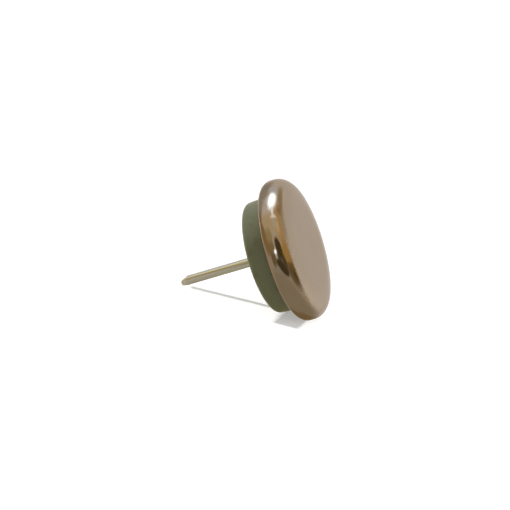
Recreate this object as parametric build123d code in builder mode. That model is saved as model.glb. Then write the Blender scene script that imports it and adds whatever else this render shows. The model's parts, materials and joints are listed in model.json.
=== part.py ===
from build123d import *
from math import atan2, cos, degrees, radians, sin, sqrt, tan
import os

# Nail-on furniture glide, in millimetres: a pressed metal cap, a moulded cushion pad and a wire nail.
# It stands on the cap's face at Z = 0, with the axis of all three pieces on Z and the nail pointing up.

# Cap: one pressing with a crowned face, a rounded rim and an edge turned in behind the pad's flange
cap_diameter = 28.0
sheet = 0.6
face_flat_diameter = 16.0
face_crown = 0.4
front_round = 2.75
rim_band = 0.65
rear_round = 1.55
lip_width = 1.15
lip_edge_round = 0.15

# Pad: a flange that fills the cap and a narrower body, drawn in by its taper, that stands out of it
pad_clearance = 0.05
pad_stand = 4.3
pad_taper = 4.0
pad_edge_round = 0.8

# Nail: its head lies between the cap's floor and the pad
nail_diameter = 1.8
nail_reach = 17.0
nail_clearance = 0.05
head_diameter = 5.0
head_height = 1.0
head_edge_round = 0.25
head_clearance = 0.1
point_sides = 4
point_length = 1.6
tip_width = 0.8
tip_offset = 0.2

# Grip rings round the nail, from the pad's rear face down
ring_count = 4
ring_pitch = 1.3
ring_depth = 0.2
ring_section_radius = 0.5

# Radii and heights that follow from these
cap_radius = cap_diameter / 2
flat_radius = face_flat_diameter / 2
nail_radius = nail_diameter / 2
opening_radius = cap_radius - rear_round - lip_width
pad_radius = opening_radius - pad_clearance
pad_depth = sheet + pad_clearance

cap_top_z = face_crown + front_round + rim_band + rear_round
pad_top_z = cap_top_z + pad_stand
head_top_z = sheet + head_height
tip_z = pad_top_z + nail_reach

# The crown's arc leaves the flat middle level and runs into the front rounding without a corner
crown_width = cap_radius - front_round - flat_radius
crown_angle = degrees(2 * atan2(face_crown, crown_width))
crown_radius = front_round + crown_width / sin(radians(crown_angle))


def cap_skin(depth):
    """Draw the cap's outer skin moved in by depth: flat, crown, rim and turned-in edge. Returns its end."""
    flat = Line((0, depth), (flat_radius, depth))
    crown = JernArc(flat @ 1, flat % 1, crown_radius - depth, crown_angle)
    front = JernArc(crown @ 1, crown % 1, front_round - depth, 90 - crown_angle)
    band = Line(front @ 1, front @ 1 + (0, rim_band))
    rear = JernArc(band @ 1, band % 1, rear_round - depth, 90)
    return rear @ 1


# Pressed cap
with BuildPart() as glide_cap:
    with BuildSketch(Plane.XZ):
        with BuildLine():
            outside = cap_skin(0)
            inside = cap_skin(sheet)
            Polyline(outside, (opening_radius, outside.Y), (opening_radius, inside.Y), inside)
            Line((0, 0), (0, sheet))
        make_face()
    revolve(axis=Axis.Z)
    lip_end = glide_cap.faces().filter_by(GeomType.CYLINDER).sort_by(SortBy.RADIUS)[0]
    fillet(lip_end.edges(), lip_edge_round)

# Moulded pad
with BuildPart() as cushion_pad:
    with BuildSketch(Plane.XZ):
        with BuildLine():
            flange = cap_skin(pad_depth)
            Polyline(
                flange,
                (pad_radius, flange.Y),
                (pad_radius, cap_top_z),
                (pad_radius - pad_stand * tan(radians(pad_taper)), pad_top_z),
                (0, pad_top_z),
                (0, pad_depth),
            )
        make_face()
    revolve(axis=Axis.Z)
    fillet(cushion_pad.edges().group_by(Axis.Z)[-1], pad_edge_round)
    with Locations(Plane(origin=(0, 0, pad_depth), z_dir=(0, 0, -1))):
        CounterBoreHole(
            radius=nail_radius + nail_clearance,
            counter_bore_radius=head_diameter / 2 + head_clearance,
            counter_bore_depth=head_top_z - pad_depth,
        )

# Wire nail
with BuildPart() as nail:
    with BuildSketch(Plane.XY.offset(sheet)):
        Circle(head_diameter / 2)
    extrude(amount=head_height)
    fillet(nail.edges().group_by(Axis.Z)[-1], head_edge_round)
    with BuildSketch(Plane.XY.offset(head_top_z)):
        Circle(nail_radius)
    extrude(amount=tip_z - head_top_z)

    # Round-bottomed grip rings, the first with its upper edge level with the pad's rear face
    ring_centre_radius = nail_radius + ring_section_radius - ring_depth
    ring_half_width = sqrt(ring_section_radius**2 - (ring_centre_radius - nail_radius) ** 2)
    with BuildSketch(Plane.XZ):
        for ring in range(ring_count):
            with Locations((ring_centre_radius, pad_top_z - ring_half_width - ring * ring_pitch)):
                Circle(ring_section_radius)
    revolve(axis=Axis.Z, mode=Mode.SUBTRACT)

    # Point: flat facets that narrow the shank to a blunt square tip beside the axis, towards +X
    for side in range(point_sides):
        turn = radians(side * 360 / point_sides)
        facet_rise = atan2(nail_radius - tip_width / 2 - tip_offset * cos(turn), point_length)
        facet = Plane(
            origin=(nail_radius * cos(turn), nail_radius * sin(turn), tip_z - point_length),
            z_dir=(cos(facet_rise) * cos(turn), cos(facet_rise) * sin(turn), sin(facet_rise)),
        )
        split(bisect_by=facet, keep=Keep.BOTTOM)

os.makedirs("parts", exist_ok=True)
pieces = {"glide_cap": glide_cap, "cushion_pad": cushion_pad, "nail": nail}
for name, piece in pieces.items():
    piece.part.label = name
    export_step(piece.part, f"parts/{name}.step")
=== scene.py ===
from functools import partial
import json
import math

import bmesh
import bpy
from bpy.props import FloatProperty, FloatVectorProperty, IntProperty, PointerProperty
from bpy.types import NodeSocket, Operator, Panel, PropertyGroup
from mathutils import Matrix, Vector


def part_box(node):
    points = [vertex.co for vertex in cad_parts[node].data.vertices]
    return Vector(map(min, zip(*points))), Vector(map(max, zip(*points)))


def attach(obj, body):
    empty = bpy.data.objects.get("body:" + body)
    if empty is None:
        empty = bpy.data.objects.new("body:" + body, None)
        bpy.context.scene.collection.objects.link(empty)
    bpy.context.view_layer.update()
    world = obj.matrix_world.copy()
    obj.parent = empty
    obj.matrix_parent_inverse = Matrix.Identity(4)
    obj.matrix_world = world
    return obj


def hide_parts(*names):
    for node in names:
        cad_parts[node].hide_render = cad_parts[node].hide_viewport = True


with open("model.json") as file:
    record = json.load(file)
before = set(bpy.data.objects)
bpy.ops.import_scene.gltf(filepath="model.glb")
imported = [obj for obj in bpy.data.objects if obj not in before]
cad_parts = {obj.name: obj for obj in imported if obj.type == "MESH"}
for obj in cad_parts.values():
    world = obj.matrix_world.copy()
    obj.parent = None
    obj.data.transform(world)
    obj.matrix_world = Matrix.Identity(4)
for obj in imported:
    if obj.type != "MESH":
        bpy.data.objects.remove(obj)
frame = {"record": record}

bl_info = {
    "name": "Nail-on furniture glide",
    "version": (1, 0, 0),
    "blender": (4, 5, 0),
    "location": "3D View > Sidebar > Glide",
    "description": "Models a nail-on furniture glide: plated cap, rubber pad and wire nail, on a white stage",
    "category": "Object",
}

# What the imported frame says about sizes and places, in metres
MM = 0.001
UP = Vector((0.0, 0.0, 1.0))
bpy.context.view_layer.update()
_, cap_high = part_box("glide_cap")
_, pad_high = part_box("cushion_pad")
nail_low, nail_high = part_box("nail")
mounts = {mount["name"]: mount for mount in frame["record"]["mounts"]}
shank_radius = mounts["nail_shank"]["dims"]["r_mm"] * MM


# Kinds of settings

def length(name, description, default):
    return FloatProperty(
        name=name,
        description=description,
        default=default,
        min=0.0,
        unit="LENGTH",
        subtype="DISTANCE",
        precision=5,
    )


def angle(name, description, degrees):
    return FloatProperty(
        name=name, description=description, default=math.radians(degrees), unit="ROTATION", subtype="ANGLE"
    )


def colour(name, description, default):
    return FloatVectorProperty(
        name=name, description=description, default=default, size=3, min=0.0, soft_max=1.0, subtype="COLOR"
    )


def vector(name, description, default):
    return FloatVectorProperty(name=name, description=description, default=default, size=3, subtype="XYZ")


def share(name, description, default):
    return FloatProperty(
        name=name, description=description, default=default, min=0.0, max=1.0, subtype="FACTOR"
    )


def amount(name, description, default):
    return FloatProperty(name=name, description=description, default=default, min=0.0)


def count(name, description, default):
    return IntProperty(name=name, description=description, default=default, min=1)


class GlideCapSettings(PropertyGroup):
    """Sizes and finish of the pressed cap."""

    radius: length("Radius", "Outer radius of the rim", cap_high.x)
    height: length("Height", "From the face to the turned-in edge", cap_high.z)
    sheet: length("Sheet", "Thickness of the metal", 0.6 * MM)
    flat_radius: length("Flat radius", "Radius of the level middle of the face", 8.0 * MM)
    crown: length("Crown", "How far the face bends back before the rim", 0.4 * MM)
    front_round: length("Front rounding", "Radius from the face to the rim", 2.75 * MM)
    rear_round: length("Rear rounding", "Radius from the rim to the turned-in edge", 1.55 * MM)
    lip_width: length("Lip width", "Flat part of the turned-in edge", 1.15 * MM)
    lip_round: length("Lip rounding", "Radius on the end of the turned-in edge", 0.15 * MM)
    segments: count("Segments", "Steps round the axis", 256)
    plate: colour("Plate", "Colour of the polished plating", (0.37, 0.296, 0.222))
    plate_edge: colour("Plate at a glance", "Tint of the plating seen at a low angle", (0.75, 0.70, 0.65))
    tarnish: colour("Tarnish", "Colour of the duller patches and specks", (0.2, 0.14, 0.09))
    roughness: share("Roughness", "How dull the polish is", 0.1)


class GlidePadSettings(PropertyGroup):
    """Sizes and finish of the moulded pad."""

    clearance: length("Clearance", "Gap between the pad and the cap", 0.05 * MM)
    height: length("Height", "From the cap's face to the pad's rear face", pad_high.z)
    taper: angle("Taper", "How far the side leans in", 4.0)
    rear_round: length("Rear rounding", "Radius round the rear face", 0.8 * MM)
    mouth_round: length("Mouth rounding", "Radius round the nail's hole", 0.2 * MM)
    hole_radius: length("Hole radius", "Hole for the nail", shank_radius + 0.05 * MM)
    pocket_radius: length("Pocket radius", "Pocket for the nail's head", nail_high.x + 0.1 * MM)
    pocket_height: length("Pocket height", "From the cap's face to the pocket's roof", nail_low.z + 1.0 * MM)
    segments: count("Segments", "Steps round the axis", 192)
    rubber: colour("Rubber", "Main colour", (0.116, 0.115, 0.053))
    rubber_pale: colour("Pale rubber", "Colour of the paler patches", (0.138, 0.151, 0.096))
    rubber_dark: colour("Dark rubber", "Colour of the darker patches", (0.08, 0.071, 0.028))
    roughness: share("Roughness", "How dull the rubber is", 0.42)


class GlideNailSettings(PropertyGroup):
    """Sizes and finish of the wire nail."""

    radius: length("Radius", "Radius of the wire", shank_radius)
    foot: length("Foot", "Height of the underside of the head", nail_low.z)
    tip: length("Tip", "Height of the tip", nail_high.z)
    head_radius: length("Head radius", "Radius of the head", nail_high.x)
    head_height: length("Head height", "Thickness of the head", 1.0 * MM)
    head_round: length("Head rounding", "Radius on the head's upper edge", 0.25 * MM)
    point_length: length("Point length", "Length of the facets", 1.6 * MM)
    tip_width: length("Tip width", "Width of the blunt tip", 0.8 * MM)
    tip_offset: length("Tip offset", "How far the tip lies beside the axis, towards +X", 0.2 * MM)
    tip_round: length("Tip rounding", "Width of the worn edges of the tip", 0.22 * MM)
    point_sides: count("Point sides", "Number of facets", 4)
    ring_count: count("Rings", "Number of grip rings", 4)
    ring_pitch: length("Ring pitch", "Distance from ring to ring", 1.3 * MM)
    ring_depth: length("Ring depth", "Depth of a ring", 0.2 * MM)
    ring_radius: length("Ring section", "Radius of a ring's section", 0.5 * MM)
    segments: count("Segments", "Steps round the axis", 96)
    zinc: colour("Zinc", "Main colour of the plating", (0.615, 0.585, 0.46))
    zinc_grey: colour("Grey zinc", "Colour of the greyer streaks", (0.585, 0.605, 0.555))
    roughness: share("Roughness", "How dull the wire is", 0.16)


class GlideStageSettings(PropertyGroup):
    """View, floors, lamps and reflector cards."""

    picture_side: amount("Picture side", "Side of the square picture, in pixels", 510.0)
    rim_centre_x: amount("Rim centre X", "Centre of the rim in the picture, in pixels from the left", 294.0)
    rim_centre_y: amount("Rim centre Y", "Centre of the rim in the picture, in pixels from the top", 249.2)
    rim_width: amount("Rim width", "Diameter of the rim in the picture, in pixels", 145.8)
    axis_lean: angle("Axis lean", "Slope of the axis in the picture, from the level", 16.3)
    axis_turn: angle("Axis turn", "Angle between the axis and the line of sight", 74.0)
    azimuth: angle("Azimuth", "Side of the glide that the camera looks at", 188.0)
    lens: amount("Lens", "Focal length in millimetres", 800.0)
    ambient: share("Ambient", "Level of the light from all round", 0.4)
    key: amount("Key", "Level of the light from above", 0.66)
    key_softness: angle("Key softness", "Size of the light from above, as an angle", 13.0)
    key_lean: angle("Key lean", "How far the picture's light leans from upright to the nail's side", 30.0)
    key_depth: angle("Key depth", "How far the picture's light leans from upright to the viewer", 5.0)
    lying_softness: angle("Lying softness", "Size of the picture's light, as an angle", 4.0)
    overhead: amount("Overhead", "Level of the light on the upper side of the lying glide", 1.04)
    overhead_from: vector("Overhead from", "Where it is: right, up and to the viewer", (-0.4, 0.88, -0.24))
    overhead_tint: colour("Overhead tint", "Colour of the light on the upper side", (0.97, 1.03, 1.42))
    bounce: amount("Bounce", "Level of the light that comes back from the floor", 0.28)
    bounce_softness: angle("Bounce softness", "Size of the light from the floor, as an angle", 120.0)
    bounce_front: amount("Bounce front", "How much more of it comes from the viewer than from the floor", 2.6)
    floor_gap: length("Floor gap", "From the cap's face down to the floor it stands on", 0.02 * MM)
    floor_white: share("Floor white", "Paleness of the floor", 0.8)
    floor_lift: share("Floor lift", "Glow that brings the lit floor up to the white background", 0.33)
    card_distance: length("Card distance", "From the glide to the reflector cards", 0.4)


# Shaping helpers

class SectionPen:
    """Draws half a section in the XZ plane: straight runs, and arcs that go on from the last run."""

    merge_distance = 0.001 * MM
    arc_step = math.radians(4.0)
    least_steps = 3

    def __init__(self, x, z):
        self.bm = bmesh.new()
        self.end = self.bm.verts.new((x, 0.0, z))
        self.heading = 0.0

    def line_to(self, x, z):
        start = self.end.co.copy()
        self.end = bmesh.ops.extrude_vert_indiv(self.bm, verts=[self.end])["verts"][0]
        self.end.co = (x, 0.0, z)
        self.heading = math.atan2(z - start.z, x - start.x)

    def turn(self, by):
        self.heading += by

    def arc(self, radius, by):
        """Turn by an angle on a circle of this radius, to the left where the angle is positive."""
        across = Vector((-math.sin(self.heading), 0.0, math.cos(self.heading)))
        swept = bmesh.ops.spin(
            self.bm,
            geom=[self.end],
            cent=self.end.co + across * math.copysign(radius, by),
            axis=-Vector((0.0, 1.0, 0.0)),
            angle=by,
            steps=max(self.least_steps, round(abs(by) / self.arc_step)),
        )
        self.end = swept["geom_last"][0]
        self.heading += by

    def revolve(self, segments):
        """Spin the section round Z into a closed skin."""
        bmesh.ops.spin(
            self.bm,
            geom=self.bm.verts[:] + self.bm.edges[:],
            cent=Vector(),
            axis=UP,
            angle=math.tau,
            steps=segments,
            use_merge=True,
        )
        bmesh.ops.remove_doubles(self.bm, verts=self.bm.verts, dist=self.merge_distance)
        bmesh.ops.recalc_face_normals(self.bm, faces=self.bm.faces)
        return self.bm


def cap_skin(pen, cap, depth, outwards):
    """Draw the cap's skin, moved in by depth, from its flat middle to the rear rounding or back."""
    crown_width = cap.radius - cap.front_round - cap.flat_radius
    crown_angle = 2 * math.atan2(cap.crown, crown_width)
    crown_radius = cap.front_round + crown_width / math.sin(crown_angle)
    band_foot = cap.crown + cap.front_round
    band_top = cap.height - cap.rear_round
    quarter = math.pi / 2
    if outwards:
        pen.line_to(cap.flat_radius, depth)
        pen.arc(crown_radius - depth, crown_angle)
        pen.arc(cap.front_round - depth, quarter - crown_angle)
        pen.line_to(cap.radius - depth, band_top)
        pen.arc(cap.rear_round - depth, quarter)
    else:
        pen.line_to(cap.radius - cap.rear_round, cap.height - depth)
        pen.arc(cap.rear_round - depth, -quarter)
        pen.line_to(cap.radius - depth, band_foot)
        pen.arc(cap.front_round - depth, crown_angle - quarter)
        pen.arc(crown_radius - depth, -crown_angle)


def opening_radius(cap):
    return cap.radius - cap.rear_round - cap.lip_width


def finished_piece(context, name, bm, material, node):
    """Turn a bmesh into a smooth piece that stands for a CAD node and rides on the root body."""
    sharp_angle = math.radians(35.0)
    mesh = bpy.data.meshes.new(name)
    bm.to_mesh(mesh)
    bm.free()
    mesh.shade_smooth()
    mesh.set_sharp_from_angle(angle=sharp_angle)
    mesh.materials.append(material)
    piece = bpy.data.objects.new(name, mesh)
    context.scene.collection.objects.link(piece)
    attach(piece, "root")
    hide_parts(node)


# Material helpers

def add_node(tree, kind, inputs=None, **settings):
    """Add a shader node. An input that is given a socket is linked to it, and any other value is set."""
    made = tree.nodes.new(kind)
    for name, value in settings.items():
        setattr(made, name, value)
    for name, value in (inputs or {}).items():
        if isinstance(value, NodeSocket):
            tree.links.new(value, made.inputs[name])
        else:
            made.inputs[name].default_value = value
    return made


def new_material(name):
    material = bpy.data.materials.new(name)
    material.use_nodes = True
    material.node_tree.nodes.clear()
    return material, material.node_tree


def set_surface(tree, shader):
    add_node(tree, "ShaderNodeOutputMaterial", {"Surface": shader.outputs[0]})


def object_coordinates(tree):
    return add_node(tree, "ShaderNodeTexCoord").outputs["Object"]


def noise(tree, place, scale, detail):
    made = add_node(tree, "ShaderNodeTexNoise", {"Vector": place, "Scale": scale, "Detail": detail})
    return made.outputs["Fac"]


def ramp(tree, value, low, high, start=0.0, end=1.0):
    """Bring a value from the range low..high to start..end, without steps at its ends."""
    made = add_node(
        tree,
        "ShaderNodeMapRange",
        {"Value": value, "From Min": low, "From Max": high, "To Min": start, "To Max": end},
        interpolation_type="SMOOTHSTEP",
    )
    return made.outputs["Result"]


def maths(tree, operation, first, second):
    made = add_node(tree, "ShaderNodeMath", {0: first, 1: second}, operation=operation)
    return made.outputs["Value"]


def mixed_colour(tree, factor, first, second):
    """Blend two colours, each a colour or a socket."""
    first, second = (value if isinstance(value, NodeSocket) else (*value, 1.0) for value in (first, second))
    made = add_node(tree, "ShaderNodeMix", data_type="RGBA")
    colour_a, colour_b, mixed = made.inputs[6], made.inputs[7], made.outputs[2]
    for socket, value in ((made.inputs[0], factor), (colour_a, first), (colour_b, second)):
        if isinstance(value, NodeSocket):
            tree.links.new(value, socket)
        else:
            socket.default_value = value
    return mixed


def bump(tree, height, depth, strength=1.0):
    made = add_node(tree, "ShaderNodeBump", {"Height": height, "Distance": depth, "Strength": strength})
    return made.outputs["Normal"]


# Finishes

def polished_plate(cap):
    """Warm polished plating: faint cloudy tarnish, a few dark specks and a slightly wavy pressing."""
    material, tree = new_material("polished_plate")
    place = object_coordinates(tree)
    speck_rarity = 0.6
    speck_tone = 0.5
    speck_dulling = 0.25
    haze_spread = 0.25
    wave_depth = 0.03 * MM
    cloud = ramp(tree, noise(tree, place, scale=110.0, detail=3.0), low=0.45, high=0.8, end=0.12)
    cells = add_node(tree, "ShaderNodeTexVoronoi", {"Vector": place, "Scale": 420.0}).outputs
    cell_red = add_node(tree, "ShaderNodeSeparateColor", {"Color": cells["Color"]}).outputs["Red"]
    lone = maths(tree, "GREATER_THAN", cell_red, speck_rarity)
    speck = maths(tree, "MULTIPLY", ramp(tree, cells["Distance"], low=0.1, high=0.04), lone)
    base = mixed_colour(tree, cloud, cap.plate, cap.tarnish)
    base = mixed_colour(tree, maths(tree, "MULTIPLY", speck, speck_tone), base, cap.tarnish)
    haze = ramp(
        tree,
        noise(tree, place, scale=900.0, detail=4.0),
        low=0.3,
        high=0.7,
        start=cap.roughness * (1 - haze_spread),
        end=cap.roughness * (1 + haze_spread),
    )
    rough = maths(tree, "ADD", haze, maths(tree, "MULTIPLY", speck, speck_dulling))
    wave = noise(tree, place, scale=130.0, detail=1.0)
    shader = add_node(
        tree,
        "ShaderNodeBsdfPrincipled",
        {
            "Base Color": base,
            "Metallic": 1.0,
            "Roughness": rough,
            "Specular Tint": (*cap.plate_edge, 1.0),
            "Normal": bump(tree, wave, wave_depth),
        },
    )
    set_surface(tree, shader)
    return material


def moulded_rubber(pad):
    """Dull olive rubber: blotches of two more tones, a fine grain and an uneven polish."""
    material, tree = new_material("moulded_rubber")
    place = object_coordinates(tree)
    dark_shift = (0.05, 0.02, 0.07)
    grain_depth = 0.02 * MM
    pale = ramp(tree, noise(tree, place, scale=260.0, detail=4.0), low=0.42, high=0.7, end=0.25)
    shifted = add_node(tree, "ShaderNodeMapping", {"Vector": place, "Location": dark_shift}).outputs["Vector"]
    dark = ramp(tree, noise(tree, shifted, scale=420.0, detail=4.0), low=0.5, high=0.75, end=0.55)
    base = mixed_colour(tree, pale, pad.rubber, pad.rubber_pale)
    base = mixed_colour(tree, dark, base, pad.rubber_dark)
    grain = noise(tree, place, scale=3500.0, detail=3.0)
    rough = ramp(
        tree,
        noise(tree, place, scale=800.0, detail=3.0),
        low=0.3,
        high=0.7,
        start=pad.roughness - 0.08,
        end=pad.roughness + 0.1,
    )
    shader = add_node(
        tree,
        "ShaderNodeBsdfPrincipled",
        {
            "Base Color": base,
            "Roughness": rough,
            "Specular IOR Level": 0.3,
            "Normal": bump(tree, grain, grain_depth, strength=0.6),
        },
    )
    set_surface(tree, shader)
    return material


def drawn_zinc_wire(nail):
    """Yellow zinc on drawn wire: streaks and fine lines along the axis."""
    material, tree = new_material("drawn_zinc_wire")
    place = object_coordinates(tree)
    drawn_out = (1.0, 1.0, 0.02)
    line_depth = 0.002 * MM
    along = add_node(tree, "ShaderNodeMapping", {"Vector": place, "Scale": drawn_out}).outputs["Vector"]
    streak = ramp(tree, noise(tree, along, scale=1500.0, detail=3.0), low=0.35, high=0.7)
    base = mixed_colour(tree, streak, nail.zinc, nail.zinc_grey)
    lines = noise(tree, along, scale=6000.0, detail=2.0)
    rough = ramp(tree, lines, low=0.3, high=0.7, start=nail.roughness - 0.04, end=nail.roughness + 0.05)
    shader = add_node(
        tree,
        "ShaderNodeBsdfPrincipled",
        {
            "Base Color": base,
            "Metallic": 1.0,
            "Roughness": rough,
            "Normal": bump(tree, lines, line_depth),
        },
    )
    set_surface(tree, shader)
    return material


# Pieces

class GLIDE_OT_cap(Operator):
    """Build the pressed cap with its turned-in edge"""

    bl_idname = "glide.cap"
    bl_label = "Build cap"

    def execute(self, context):
        cap = context.scene.glide_cap
        opening = opening_radius(cap)
        quarter = math.pi / 2
        pen = SectionPen(0.0, 0.0)
        cap_skin(pen, cap, 0.0, outwards=True)
        pen.line_to(opening + cap.lip_round, cap.height)
        pen.arc(cap.lip_round, quarter)
        pen.line_to(opening, cap.height - cap.sheet + cap.lip_round)
        pen.arc(cap.lip_round, quarter)
        cap_skin(pen, cap, cap.sheet, outwards=False)
        pen.line_to(0.0, cap.sheet)
        skin = pen.revolve(cap.segments)
        finished_piece(context, "pressed_cap", skin, polished_plate(cap), "glide_cap")
        return {"FINISHED"}


class GLIDE_OT_pad(Operator):
    """Build the moulded pad with its flange, its tapered body and the nail's hole"""

    bl_idname = "glide.pad"
    bl_label = "Build pad"

    def execute(self, context):
        cap = context.scene.glide_cap
        pad = context.scene.glide_pad
        depth = cap.sheet + pad.clearance
        neck = opening_radius(cap) - pad.clearance
        side_turn = math.pi / 2 - pad.taper
        rounding_run = pad.rear_round * math.tan(side_turn / 2)
        side_rise = pad.height - rounding_run * math.cos(pad.taper) - cap.height
        pen = SectionPen(pad.pocket_radius, depth)
        cap_skin(pen, cap, depth, outwards=True)
        pen.line_to(neck, cap.height - depth)
        pen.line_to(neck, cap.height)
        pen.line_to(neck - side_rise * math.tan(pad.taper), cap.height + side_rise)
        pen.arc(pad.rear_round, side_turn)
        pen.line_to(pad.hole_radius + pad.mouth_round, pad.height)
        pen.arc(pad.mouth_round, math.pi / 2)
        pen.line_to(pad.hole_radius, pad.pocket_height)
        pen.line_to(pad.pocket_radius, pad.pocket_height)
        pen.line_to(pad.pocket_radius, depth)
        skin = pen.revolve(pad.segments)
        finished_piece(context, "moulded_pad", skin, moulded_rubber(pad), "cushion_pad")
        return {"FINISHED"}


class GLIDE_OT_nail(Operator):
    """Build the wire nail with its head, its grip rings and its faceted point"""

    bl_idname = "glide.nail"
    bl_label = "Build nail"

    def execute(self, context):
        nail = context.scene.glide_nail
        pad = context.scene.glide_pad
        head_top = nail.foot + nail.head_height
        pen = SectionPen(0.0, nail.foot)
        pen.line_to(nail.head_radius, nail.foot)
        pen.line_to(nail.head_radius, head_top - nail.head_round)
        pen.arc(nail.head_round, math.pi / 2)
        pen.line_to(nail.radius, head_top)
        self.draw_rings(pen, nail, pad.height)
        pen.line_to(nail.radius, nail.tip)
        bm = pen.revolve(nail.segments)
        self.cut_point(bm, nail)
        finished_piece(context, "wire_nail", bm, drawn_zinc_wire(nail), "nail")
        return {"FINISHED"}

    def draw_rings(self, pen, nail, pad_top):
        """Draw the round-bottomed rings up the shank, the last one up to the pad's rear face."""
        bite = math.acos((nail.ring_radius - nail.ring_depth) / nail.ring_radius)
        half_width = nail.ring_radius * math.sin(bite)
        for ring in reversed(range(nail.ring_count)):
            pen.line_to(nail.radius, pad_top - 2 * half_width - ring * nail.ring_pitch)
            pen.turn(bite)
            pen.arc(nail.ring_radius, -2 * bite)

    def cut_point(self, bm, nail):
        """Close the shank's end, cut flat facets that narrow it to a blunt tip, and round the tip's edges."""
        bmesh.ops.holes_fill(bm, edges=[edge for edge in bm.edges if edge.is_boundary], sides=0)
        for side in range(nail.point_sides):
            bearing = math.tau * side / nail.point_sides
            run_in = nail.radius - nail.tip_width / 2 - nail.tip_offset * math.cos(bearing)
            rise = math.atan2(run_in, nail.point_length)
            turn = Matrix.Rotation(bearing, 3, "Z")
            cut = bmesh.ops.bisect_plane(
                bm,
                geom=bm.verts[:] + bm.edges[:] + bm.faces[:],
                plane_co=turn @ Vector((nail.radius, 0.0, nail.tip - nail.point_length)),
                plane_no=turn @ Vector((math.cos(rise), 0.0, math.sin(rise))),
                clear_outer=True,
            )
            rim = [part for part in cut["geom_cut"] if isinstance(part, bmesh.types.BMEdge)]
            bmesh.ops.holes_fill(bm, edges=rim, sides=0)
        bmesh.ops.recalc_face_normals(bm, faces=bm.faces)
        end = max(bm.faces, key=lambda face: face.calc_center_median().z)
        bmesh.ops.bevel(
            bm,
            geom=end.edges[:],
            offset=nail.tip_round,
            offset_type="OFFSET",
            segments=4,
            profile=0.5,
            affect="EDGES",
            clamp_overlap=True,
            material=-1,
        )


# Stage

def photo_axes(stage):
    """Right, up and towards-the-camera directions of the picture, as the columns of a matrix."""
    level = Vector((math.sin(stage.azimuth), -math.cos(stage.azimuth), 0.0))
    back = level * math.sin(stage.axis_turn) - UP * math.cos(stage.axis_turn)
    face = -UP * math.sin(stage.axis_turn) - level * math.cos(stage.axis_turn)
    across = back.cross(face)
    right = face * math.cos(stage.axis_lean) - across * math.sin(stage.axis_lean)
    up = face * math.sin(stage.axis_lean) + across * math.cos(stage.axis_lean)
    return Matrix((right, up, back)).transposed()


def stage_object(context, name, data, matrix):
    made = bpy.data.objects.new(name, data)
    made.matrix_world = matrix
    context.scene.collection.objects.link(made)
    return made


def place_camera(context, stage, cap):
    """Aim the camera so that the axis has the picture's lean and turn, and the rim its place and width."""
    axes = photo_axes(stage)
    data = bpy.data.cameras.new("photo_camera")
    data.lens = stage.lens
    data.clip_start = 0.01
    data.clip_end = 10.0
    middle = stage.picture_side / 2
    half_view = data.sensor_width / 2 / data.lens
    distance = cap.radius / (stage.rim_width / 2) * middle / half_view
    rim_centre = UP * (cap.crown + cap.front_round)
    ahead = Vector((0.0, 0.0, -1.0))
    to_rim = Vector((stage.rim_centre_x - middle, middle - stage.rim_centre_y, -middle / half_view))
    turned = axes @ to_rim.rotation_difference(ahead).to_matrix()
    place = Matrix.Translation(rim_centre + axes.col[2] * distance)
    context.scene.camera = stage_object(context, "photo_camera", data, place @ turned.to_4x4())


def lying_floor(cap, nail):
    """Point and upward direction of the floor under the lying glide, at its rim and its tip's edge."""
    edge = Vector((nail.tip_offset + nail.tip_width / 2, 0.0, nail.tip))
    rim = Vector((cap.radius - cap.front_round, 0.0, cap.crown + cap.front_round))
    across = edge - rim
    slope = math.atan2(across.z, -across.x) - math.asin(cap.front_round / across.length)
    return edge, Vector((-math.sin(slope), 0.0, -math.cos(slope)))


def facing(direction):
    """Turn that brings +Z to a direction."""
    return direction.to_track_quat("Z", "Y").to_matrix().to_4x4()


def stage_mesh(context, name, bm, material, matrix):
    """Turn a bmesh into an object of the stage that can be mirrored, but throws no light and no shadow."""
    mesh = bpy.data.meshes.new(name)
    bm.to_mesh(mesh)
    bm.free()
    mesh.materials.append(material)
    made = stage_object(context, name, mesh, matrix)
    made.visible_diffuse = False
    made.visible_transmission = False
    made.visible_shadow = False
    return made


def white_floor(stage):
    """Pale floor that shows only its upper side, takes shadows, and glows up to white where it is lit."""
    material, tree = new_material("white_floor")
    white = stage.floor_white
    pale = add_node(tree, "ShaderNodeBsdfDiffuse", {"Color": (white, white, white, 1.0)})
    glow = add_node(tree, "ShaderNodeEmission", {"Strength": stage.floor_lift})
    lit = add_node(tree, "ShaderNodeAddShader", {0: pale.outputs[0], 1: glow.outputs[0]})
    clear = add_node(tree, "ShaderNodeBsdfTransparent")
    underside = add_node(tree, "ShaderNodeNewGeometry").outputs["Backfacing"]
    shader = add_node(tree, "ShaderNodeMixShader", {0: underside, 1: lit.outputs[0], 2: clear.outputs[0]})
    set_surface(tree, shader)
    return material


def lay_floor(context, name, point, normal, material):
    """Lay a wide round floor that reflections don't show."""
    bm = bmesh.new()
    bmesh.ops.create_circle(bm, cap_ends=True, segments=96, radius=1.5)
    floor = stage_mesh(context, name, bm, material, Matrix.Translation(point) @ facing(normal))
    floor.visible_glossy = False
    return floor


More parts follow.
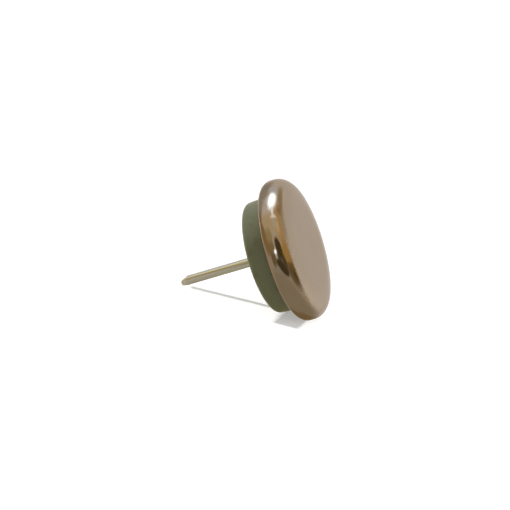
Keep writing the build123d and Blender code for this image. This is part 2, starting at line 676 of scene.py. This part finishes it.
def hide_shadow_core(context, cap, pad, nail):
    """Put a core inside the pad and the nail's shank, narrower than they are, that only casts shadows."""
    side_inset = 0.25 * MM
    shank_inset = 0.05 * MM
    foot_drop = 0.85 * MM
    top_drop = 0.95 * MM
    radius = opening_radius(cap) - pad.clearance - side_inset
    shank = nail.radius - shank_inset
    foot = cap.height - foot_drop
    top = pad.height - top_drop
    shank_end = nail.tip - nail.point_length
    pen = SectionPen(0.0, foot)
    pen.line_to(radius, foot)
    pen.line_to(radius - (top - cap.height) * math.tan(pad.taper), top)
    pen.line_to(shank, top)
    pen.line_to(shank, shank_end)
    pen.line_to(0.0, shank_end)
    material, _ = new_material("shadow_core")
    core = stage_mesh(context, "shadow_core", pen.revolve(nail.segments), material, Matrix())
    core.visible_camera = False
    core.visible_glossy = False
    core.visible_shadow = True
    return core


def grouped(name, members):
    """Group objects, so that a lamp can be linked to them."""
    group = bpy.data.collections.new(name)
    for member in members:
        group.objects.link(member)
    return group


def hang_lamp(context, name, direction, level, softness):
    """Hang a distant lamp. At level 1 it shows a facing colour as it is written. Metal doesn't mirror it."""
    data = bpy.data.lights.new(name, "SUN")
    data.energy = level * math.pi
    data.angle = softness
    lamp = stage_object(context, name, data, facing(direction))
    lamp.visible_glossy = False
    return lamp


def light_world(context, stage):
    """White all round for the camera and for reflections, and a plain ambient level for everything else."""
    world = bpy.data.worlds.new("white_studio")
    world.use_nodes = True
    tree = world.node_tree
    tree.nodes.clear()
    path = add_node(tree, "ShaderNodeLightPath").outputs
    seen = maths(tree, "MAXIMUM", path["Is Camera Ray"], path["Is Glossy Ray"])
    seen = maths(tree, "MAXIMUM", seen, path["Is Transmission Ray"])
    strength = add_node(
        tree, "ShaderNodeMapRange", {"Value": seen, "To Min": stage.ambient, "To Max": 1.0}
    ).outputs["Result"]
    white = (1.0, 1.0, 1.0, 1.0)
    background = add_node(tree, "ShaderNodeBackground", {"Color": white, "Strength": strength})
    add_node(tree, "ShaderNodeOutputWorld", {"Surface": background.outputs[0]})
    context.scene.world = world


def card_glow(name, glow, strength, soft):
    """Even glow that fades out towards the edge of a round card of radius 1."""
    material, tree = new_material(name)
    place = object_coordinates(tree)
    from_middle = add_node(tree, "ShaderNodeVectorMath", {0: place}, operation="LENGTH").outputs["Value"]
    solid = ramp(tree, from_middle, low=1.0, high=1.0 - soft)
    light = add_node(tree, "ShaderNodeEmission", {"Color": (*glow, 1.0), "Strength": strength})
    clear = add_node(tree, "ShaderNodeBsdfTransparent")
    shader = add_node(tree, "ShaderNodeMixShader", {0: solid, 1: clear.outputs[0], 2: light.outputs[0]})
    set_surface(tree, shader)
    return material


def hang_card(context, stage, name, at, size, glow, soft, strength=1.0, roll=0.0, back=0.0):
    """Hang a round card that only reflections show.

    All angles are in degrees. It hangs at a bearing, from the camera to the right, and at a height above the
    level. Its size is the width and the rise that it covers, and its roll is anticlockwise. Soft is the share
    of it that fades out, and back is how far it hangs behind the nearest cards.
    """
    # This far above or below the level, the viewer's side sets its turn, not the picture's upward direction
    steep = 80
    bearing, height = at
    width, rise = size
    turn, lift = math.radians(bearing), math.radians(height)
    seen_from_front = Vector(
        (math.sin(turn) * math.cos(lift), math.sin(lift), math.cos(turn) * math.cos(lift))
    )
    axes = photo_axes(stage)
    direction = axes @ seen_from_front
    upright = axes.col[1] if abs(height) < steep else axes.col[2]
    rolled = Matrix.Rotation(math.radians(roll), 3, direction)
    side = rolled @ upright.cross(direction).normalized()
    top = direction.cross(side)
    distance = stage.card_distance + back
    half_width = distance * math.tan(math.radians(width) / 2)
    half_rise = distance * math.tan(math.radians(rise) / 2)
    turned = Matrix((side * half_width, top * half_rise, direction)).transposed().to_4x4()
    place = Matrix.Translation(direction * distance) @ turned
    bm = bmesh.new()
    bmesh.ops.create_circle(bm, cap_ends=True, segments=64, radius=1.0)
    card = stage_mesh(context, name, bm, card_glow(name, glow, strength, soft), place)
    card.visible_camera = False


def hang_studio(context, stage):
    """Hang what the polished metal mirrors, besides the white all round."""
    # The nearest first: lights and glints, dark things in front, then the warm and pale things behind them
    card = partial(hang_card, context, stage)
    card("softbox", at=(180, 89), size=(66, 44), glow=(0.62, 0.77, 1.0), soft=0.9, strength=7.0, roll=25)
    card("cool_back", at=(172, 64), size=(60, 26), glow=(0.93, 1.03, 1.25), soft=0.8, back=0.002)
    card("window", at=(-19, -1), size=(24, 10), glow=(0.66, 0.78, 1.0), soft=0.6, strength=4.5, roll=20)
    card("cool_halo", at=(-103, 63), size=(30, 13), glow=(1.25, 1.35, 1.55), soft=0.8, back=0.003)
    card("pale_streak", at=(2, 69), size=(18, 20), glow=(2.1, 2.2, 2.25), soft=0.8, back=0.0035)
    card("pale_line", at=(12, 61), size=(60, 8), glow=(1.7, 1.76, 1.8), soft=0.8, back=0.004)
    card("green_glint", at=(-8, 31), size=(34, 9), glow=(0.74, 0.84, 0.8), soft=0.7, back=0.005)
    card("soft_glint", at=(15, -7), size=(24, 10), glow=(0.28, 0.24, 0.17), soft=0.8, back=0.008)
    card("dark_above", at=(10, 13), size=(56, 36), glow=(0.13, 0.1, 0.04), soft=0.4, back=0.01)
    card("dark_below", at=(8, -21), size=(74, 26), glow=(0.11, 0.09, 0.045), soft=0.25, back=0.02)
    card("brown_front", at=(-31, -16), size=(18, 34), glow=(0.29, 0.23, 0.13), soft=0.6, back=0.021)
    card("dark_line", at=(84, -4), size=(34, 12), glow=(0.17, 0.13, 0.06), soft=0.7, roll=10, back=0.022)
    card("dark_middle", at=(18, -5), size=(76, 38), glow=(0.16, 0.13, 0.07), soft=0.5, back=0.025)
    card("brown_right", at=(71, -8), size=(90, 50), glow=(0.27, 0.2, 0.095), soft=0.7, roll=15, back=0.03)
    card("amber_band", at=(67, 10), size=(94, 42), glow=(0.72, 0.49, 0.18), soft=0.5, back=0.04)
    card("amber_light", at=(42, 44), size=(44, 26), glow=(1.1, 0.88, 0.52), soft=0.8, back=0.042)
    card("grey_front", at=(12, 49), size=(50, 20), glow=(0.84, 0.84, 0.8), soft=0.8, back=0.043)
    card("brown_streak", at=(98, 46), size=(84, 14), glow=(0.55, 0.42, 0.22), soft=0.7, roll=-45, back=0.044)
    card("brown_high", at=(126, 42), size=(46, 44), glow=(0.6, 0.5, 0.33), soft=0.8, back=0.046)
    card("amber_high", at=(66, 43), size=(86, 72), glow=(0.82, 0.6, 0.32), soft=0.6, back=0.05)
    card("tan_right", at=(108, 32), size=(56, 50), glow=(0.72, 0.62, 0.45), soft=0.8, back=0.055)
    card("tan_left", at=(-68, 6), size=(112, 48), glow=(0.46, 0.34, 0.16), soft=0.4, back=0.06)
    card("brown_left", at=(-106, 20), size=(50, 26), glow=(0.46, 0.34, 0.16), soft=0.6, roll=12, back=0.062)
    card("olive_front", at=(-38, 21), size=(48, 32), glow=(0.62, 0.53, 0.31), soft=0.8, back=0.065)
    card("tan_front", at=(-20, 40), size=(120, 60), glow=(0.88, 0.76, 0.52), soft=0.6, back=0.07)
    card("grey_left", at=(-130, 38), size=(92, 66), glow=(0.58, 0.57, 0.53), soft=0.6, back=0.075)
    card("beige_left", at=(-90, -20), size=(140, 44), glow=(0.64, 0.55, 0.44), soft=0.6, back=0.08)
    card("gold_low", at=(100, -22), size=(40, 22), glow=(0.72, 0.6, 0.4), soft=0.8, back=0.083)
    card("pale_right", at=(130, -4), size=(56, 34), glow=(1.14, 1.15, 1.14), soft=0.8, back=0.085)
    card("brown_behind", at=(-178, -36), size=(50, 72), glow=(0.38, 0.3, 0.16), soft=0.6, back=0.09)
    card("table", at=(0, -90), size=(150, 150), glow=(0.5, 0.45, 0.35), soft=0.75, back=0.1)


class GLIDE_OT_stage(Operator):
    """Set up the camera, the white floors, the soft lamps and the reflector cards"""

    bl_idname = "glide.stage"
    bl_label = "Build stage"

    def execute(self, context):
        scene = context.scene
        stage, cap, pad, nail = scene.glide_stage, scene.glide_cap, scene.glide_pad, scene.glide_nail
        scene.view_settings.view_transform = "Standard"
        place_camera(context, stage, cap)
        light_world(context, stage)

        # One floor under the standing glide, and one that it lies on in the picture
        floor = white_floor(stage)
        tip_edge, lying = lying_floor(cap, nail)
        floors = [
            lay_floor(context, "standing_floor", -UP * stage.floor_gap, UP, floor),
            lay_floor(context, "lying_floor", tip_edge, lying, floor),
        ]
        hang_lamp(context, "standing_lamp", UP, stage.key, stage.key_softness)

        # A lamp on the floors alone casts the picture's shadow, of the pad and the nail's shank
        to_tip = (UP - lying * UP.dot(lying)).normalized()
        to_viewer = lying.cross(to_tip)
        key = lying + to_tip * math.tan(stage.key_lean) + to_viewer * math.tan(stage.key_depth)
        lying_lamp = hang_lamp(context, "lying_lamp", key, stage.key, stage.lying_softness)
        lying_lamp.light_linking.receiver_collection = grouped("lit_floors", floors)
        core = hide_shadow_core(context, cap, pad, nail)
        lying_lamp.light_linking.blocker_collection = grouped("shadow_casters", [core])

        # Light on the lying pieces from above, and from the floor and the viewer's side
        axes = photo_axes(stage)
        pieces = [bpy.data.objects[name] for name in ("pressed_cap", "moulded_pad", "wire_nail")]
        overhead = axes @ Vector(stage.overhead_from)
        overhead_lamp = hang_lamp(context, "overhead_lamp", overhead, stage.overhead, stage.key_softness)
        overhead_lamp.data.color = stage.overhead_tint
        overhead_lamp.light_linking.receiver_collection = grouped("lit_pieces", pieces)
        bounce = axes.col[2] * stage.bounce_front - lying
        hang_lamp(context, "floor_bounce", bounce, stage.bounce, stage.bounce_softness)
        hang_studio(context, stage)
        return {"FINISHED"}


class GLIDE_PT_build(Panel):
    """Sizes, finishes and build buttons of the furniture glide"""

    bl_label = "Furniture glide"
    bl_idname = "GLIDE_PT_build"
    bl_space_type = "VIEW_3D"
    bl_region_type = "UI"
    bl_category = "Glide"

    def draw(self, context):
        for button, group in BUILD_STEPS:
            box = self.layout.box()
            settings = getattr(context.scene, group)
            for name in settings.bl_rna.properties.keys():
                if name not in {"rna_type", "name"}:
                    box.prop(settings, name)
            box.operator(button.bl_idname)


SETTINGS = {
    "glide_cap": GlideCapSettings,
    "glide_pad": GlidePadSettings,
    "glide_nail": GlideNailSettings,
    "glide_stage": GlideStageSettings,
}
BUILD_STEPS = (
    (GLIDE_OT_cap, "glide_cap"),
    (GLIDE_OT_pad, "glide_pad"),
    (GLIDE_OT_nail, "glide_nail"),
    (GLIDE_OT_stage, "glide_stage"),
)


def register():
    for group, settings in SETTINGS.items():
        bpy.utils.register_class(settings)
        setattr(bpy.types.Scene, group, PointerProperty(type=settings))
    for button, _ in BUILD_STEPS:
        bpy.utils.register_class(button)
    bpy.utils.register_class(GLIDE_PT_build)


def unregister():
    bpy.utils.unregister_class(GLIDE_PT_build)
    for button, _ in reversed(BUILD_STEPS):
        bpy.utils.unregister_class(button)
    for group, settings in reversed(SETTINGS.items()):
        delattr(bpy.types.Scene, group)
        bpy.utils.unregister_class(settings)


def main():
    register()
    bpy.ops.glide.cap()
    bpy.ops.glide.pad()
    bpy.ops.glide.nail()
    bpy.ops.glide.stage()


if __name__ == "__main__":
    main()
